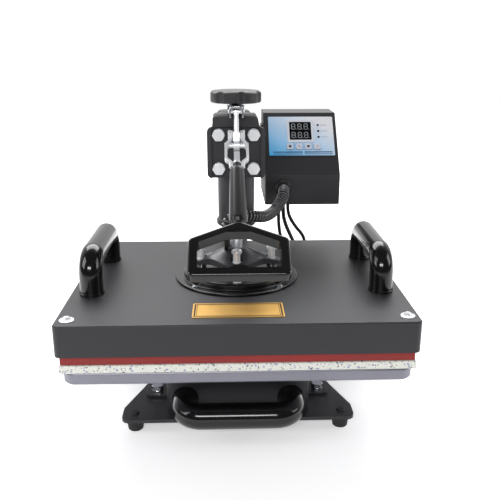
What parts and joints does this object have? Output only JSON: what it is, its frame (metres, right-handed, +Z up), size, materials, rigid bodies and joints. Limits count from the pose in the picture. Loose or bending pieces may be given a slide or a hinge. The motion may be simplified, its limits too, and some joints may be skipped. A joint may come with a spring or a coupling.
{
  "type": "combo heat press",
  "caption": "Swing-away flat heat press with a lever-closed heating platen, pressure knob, side carrying handles and a sloping control box.",
  "frame": {"origin": "middle of the footprint, on the table", "axes": "+X to the user's right, +Y away from the user, +Z up"},
  "size_m": [0.39, 0.6, 0.3936],
  "materials": {
    "black_paint": "satin black powder coat",
    "grey_dome": "grey hammered enamel",
    "foot_rubber": "matt black rubber",
    "zinc_bolts": "bright zinc plate",
    "platen_aluminium": "satin cast aluminium",
    "speckled_foam": "off-white foam with dark flecks",
    "red_silicone": "satin red silicone",
    "gloss_handles": "gloss black",
    "element_steel": "heat-darkened steel",
    "insulation_wool": "glass wool board",
    "brass_sheet": "brushed brass",
    "chrome_steel": "bright chrome",
    "bush_bronze": "sintered bronze",
    "knob_plastic": "moulded black",
    "panel_film": "grey to blue printed film",
    "display_plastic": "black window, grey bezel",
    "light_lens": "dark lens",
    "board_laminate": "green laminate",
    "button_plastic": "grey rubbery plastic",
    "hose_plastic": "black spiral wrap",
    "cord_rubber": "black cord sheath"
  },
  "bodies": {
    "base": {"base_plate": "black_paint", "rubber_feet": "foot_rubber", "pedestal": "black_paint", "base_bolts": "zinc_bolts", "column_post": "black_paint", "lower_platen": "platen_aluminium", "foam_pad": "speckled_foam", "silicone_pad": "red_silicone", "front_handle": "gloss_handles", "front_handle_screws": "zinc_bolts", "mains_cord": "cord_rubber", "mains_coil": "cord_rubber", "mains_plug": "knob_plastic"},
    "arm": {"swing_sleeve": "black_paint", "arm_beam": "black_paint", "head_block": "black_paint", "press_sleeve": "black_paint", "arm_bushes": "bush_bronze", "front_clamp_plate": "black_paint", "clamp_bolts": "zinc_bolts", "cap_block": "black_paint", "box_shell": "black_paint", "box_back": "black_paint", "control_panel": "panel_film", "display_module": "display_plastic", "indicator_lights": "light_lens", "circuit_board": "board_laminate", "hose_grommet": "knob_plastic", "cable_glands": "knob_plastic", "accessory_lead": "cord_rubber"},
    "press": {"press_rod": "chrome_steel", "spider_plate": "grey_dome", "spider_bolts": "zinc_bolts", "spring_washers": "zinc_bolts", "mounting_disc": "black_paint", "disc_screws": "zinc_bolts", "platen_cover": "black_paint", "heat_platen": "platen_aluminium", "heating_element": "element_steel", "insulation_board": "insulation_wool", "left_handle": "gloss_handles", "right_handle": "gloss_handles", "handle_screws": "zinc_bolts", "cover_screws": "zinc_bolts", "brass_plate": "brass_sheet", "yoke": "chrome_steel", "hose_gland": "knob_plastic", "spiral_hose": "hose_plastic"},
    "lever": {"lever_tube": "black_paint", "lever_grip": "gloss_handles", "lever_straps": "chrome_steel", "lever_pins": "chrome_steel"},
    "link": {"link_rod": "chrome_steel"},
    "knob": {"pressure_knob": "knob_plastic"},
    "switch": {"power_switch": "knob_plastic"},
    "button_set": {"button_set": "button_plastic"},
    "button_down": {"button_down": "button_plastic"},
    "button_up": {"button_up": "button_plastic"},
    "button_start": {"button_start": "button_plastic"}
  },
  "joints": [
    {"name": "arm_swing", "type": "hinge", "parent": "base", "child": "arm", "pos_m": [0, 0.18046, 0.3], "axis": [0, 0, 1], "range_deg": [-90, 90], "deforming": ["mains_cord"]},
    {"name": "press_slide", "type": "slide", "parent": "arm", "child": "press", "axis": [0, 0, 1], "range_m": [0, 0.0223], "deforming": ["spiral_hose"]},
    {"name": "lever_lift", "type": "hinge", "parent": "arm", "child": "lever", "pos_m": [0, -0.06154, 0.346], "axis": [-1, 0, 0], "range_deg": [0, 90]},
    {"name": "link_swing", "type": "hinge", "parent": "lever", "child": "link", "pos_m": [0, -0.07464, 0.33682], "axis": [-1, 0, 0], "range_deg": [-90, 0]},
    {"name": "knob_turn", "type": "hinge", "parent": "press", "child": "knob", "pos_m": [0, -0.01954, 0.386], "axis": [0, 0, 1], "continuous": true},
    {"name": "switch_rock", "type": "hinge", "parent": "arm", "child": "switch", "pos_m": [0.09, 0.17146, 0.264], "axis": [1, 0, 0], "range_deg": [0, 16]},
    {"name": "button_set_press", "type": "slide", "parent": "arm", "child": "button_set", "axis": [0, 0.76, -0.65], "range_m": [0, 0.0005], "stiffness_N_per_m": 400},
    {"name": "button_down_press", "type": "slide", "parent": "arm", "child": "button_down", "axis": [0, 0.76, -0.65], "range_m": [0, 0.0005], "stiffness_N_per_m": 400},
    {"name": "button_up_press", "type": "slide", "parent": "arm", "child": "button_up", "axis": [0, 0.76, -0.65], "range_m": [0, 0.0005], "stiffness_N_per_m": 400},
    {"name": "button_start_press", "type": "slide", "parent": "arm", "child": "button_start", "axis": [0, 0.76, -0.65], "range_m": [0, 0.0005], "stiffness_N_per_m": 400}
  ],
  "couplings": [
    {"joint": "lever_lift", "follows": "press_slide", "rad_per_m": 70.43},
    {"joint": "link_swing", "follows": "press_slide", "rad_per_m": -70.43}
  ]
}
